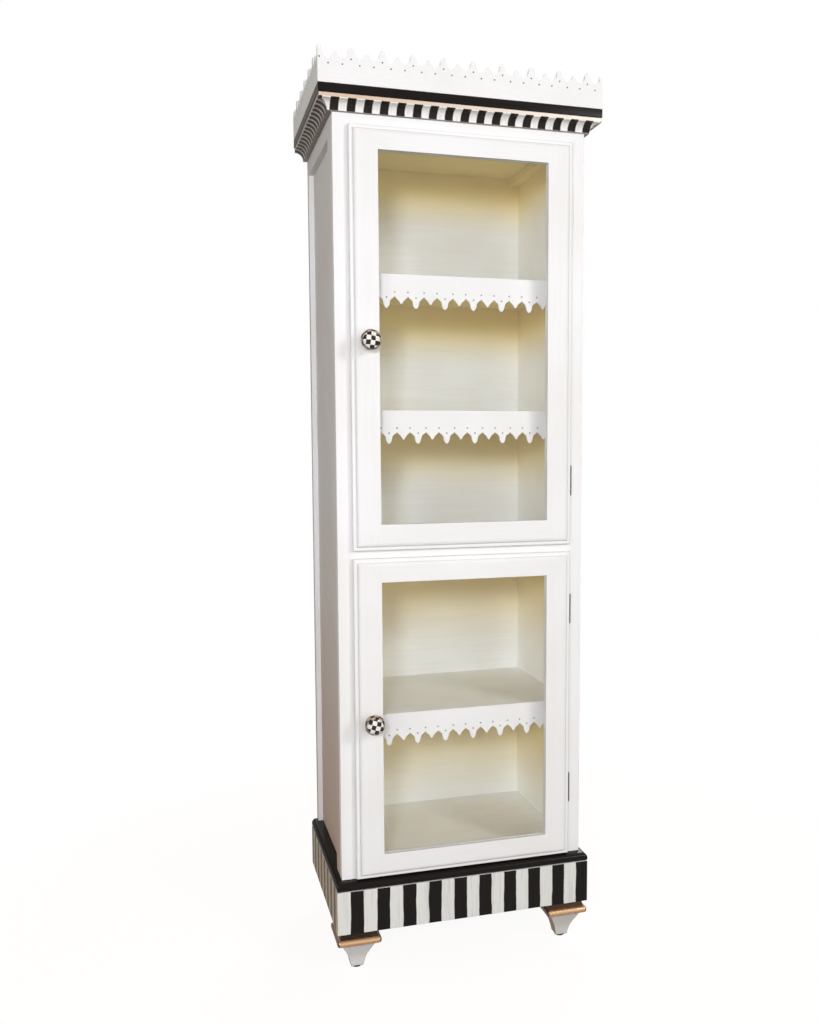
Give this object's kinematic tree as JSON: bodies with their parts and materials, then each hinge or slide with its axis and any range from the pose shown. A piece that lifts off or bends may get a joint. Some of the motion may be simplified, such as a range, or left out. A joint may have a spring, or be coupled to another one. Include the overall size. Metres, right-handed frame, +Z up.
{
  "type": "curio cabinet",
  "caption": "Tall narrow painted display cabinet with glazed doors, scalloped shelf trims, a fretted crown, a cove cornice and a striped plinth on tapered feet.",
  "frame": {"origin": "on the floor under the centre of the closed cabinet's bounding box, knobs included", "axes": "+Z up, the doors face -Y, +X to the right of someone facing the doors"},
  "size_m": [0.647, 0.4416, 2.0331],
  "materials": {
    "white_paint": "glossy white enamel over wood",
    "cream_paint": "satin cream paint over wood",
    "black_gloss": "high gloss black enamel over wood",
    "striped_paint": "hand painted black and white stripes, gloss varnish",
    "gold_paint": "gold leaf paint over wood",
    "clear_glass": "clear float glass",
    "glazed_ceramic": "black and white checked glaze",
    "brass": "polished brass",
    "dark_steel": "dark bronzed steel",
    "dark_plastic": "black plastic"
  },
  "bodies": {
    "cabinet": {"back_panel": "cream_paint", "cornice_board": "black_gloss", "cornice_moulding_front": "striped_paint", "cornice_moulding_left": "striped_paint", "cornice_moulding_right": "striped_paint", "crown_fret_front": "white_paint", "crown_fret_left": "white_paint", "crown_fret_right": "white_paint", "face_frame": "white_paint", "floor_panel": "cream_paint", "foot_cap_front_left": "gold_paint", "foot_cap_front_right": "gold_paint", "foot_cap_rear_left": "gold_paint", "foot_cap_rear_right": "gold_paint", "foot_glide_front_left": "dark_plastic", "foot_glide_front_right": "dark_plastic", "foot_glide_rear_left": "dark_plastic", "foot_glide_rear_right": "dark_plastic", "foot_leg_front_left": "white_paint", "foot_leg_front_right": "white_paint", "foot_leg_rear_left": "white_paint", "foot_leg_rear_right": "white_paint", "lower_bottom_hinge_frame_leaf": "dark_steel", "lower_catch_magnet": "dark_plastic", "lower_top_hinge_frame_leaf": "dark_steel", "mid_deck": "cream_paint", "plinth_frame": "striped_paint", "plinth_top": "black_gloss", "shelf_1": "cream_paint", "shelf_2": "cream_paint", "shelf_3": "cream_paint", "shelf_trim_1": "white_paint", "shelf_trim_2": "white_paint", "shelf_trim_3": "white_paint", "side_frame_left": "white_paint", "side_frame_right": "white_paint", "side_panel_left": "white_paint", "side_panel_right": "white_paint", "top_cleat_left": "cream_paint", "top_cleat_right": "cream_paint", "top_panel": "cream_paint", "upper_bottom_hinge_frame_leaf": "dark_steel", "upper_catch_magnet": "dark_plastic", "upper_top_hinge_frame_leaf": "white_paint"},
    "upper_door": {"upper_bottom_hinge_door_leaf": "dark_steel", "upper_catch_strike": "dark_steel", "upper_door_frame": "white_paint", "upper_door_glass": "clear_glass", "upper_glass_bead": "white_paint", "upper_knob": "glazed_ceramic", "upper_knob_ferrule": "brass", "upper_top_hinge_door_leaf": "white_paint"},
    "lower_door": {"lower_bottom_hinge_door_leaf": "dark_steel", "lower_catch_strike": "dark_steel", "lower_door_frame": "white_paint", "lower_door_glass": "clear_glass", "lower_glass_bead": "white_paint", "lower_knob": "glazed_ceramic", "lower_knob_ferrule": "brass", "lower_top_hinge_door_leaf": "dark_steel"}
  },
  "joints": [
    {"name": "upper_door_hinge", "type": "hinge", "parent": "cabinet", "child": "upper_door", "pos_m": [0.26065, -0.15875, 0.971], "axis": [0, 0, 1], "range_deg": [0, 120]},
    {"name": "lower_door_hinge", "type": "hinge", "parent": "cabinet", "child": "lower_door", "pos_m": [0.26065, -0.15875, 0.2232], "axis": [0, 0, 1], "range_deg": [0, 120]}
  ]
}
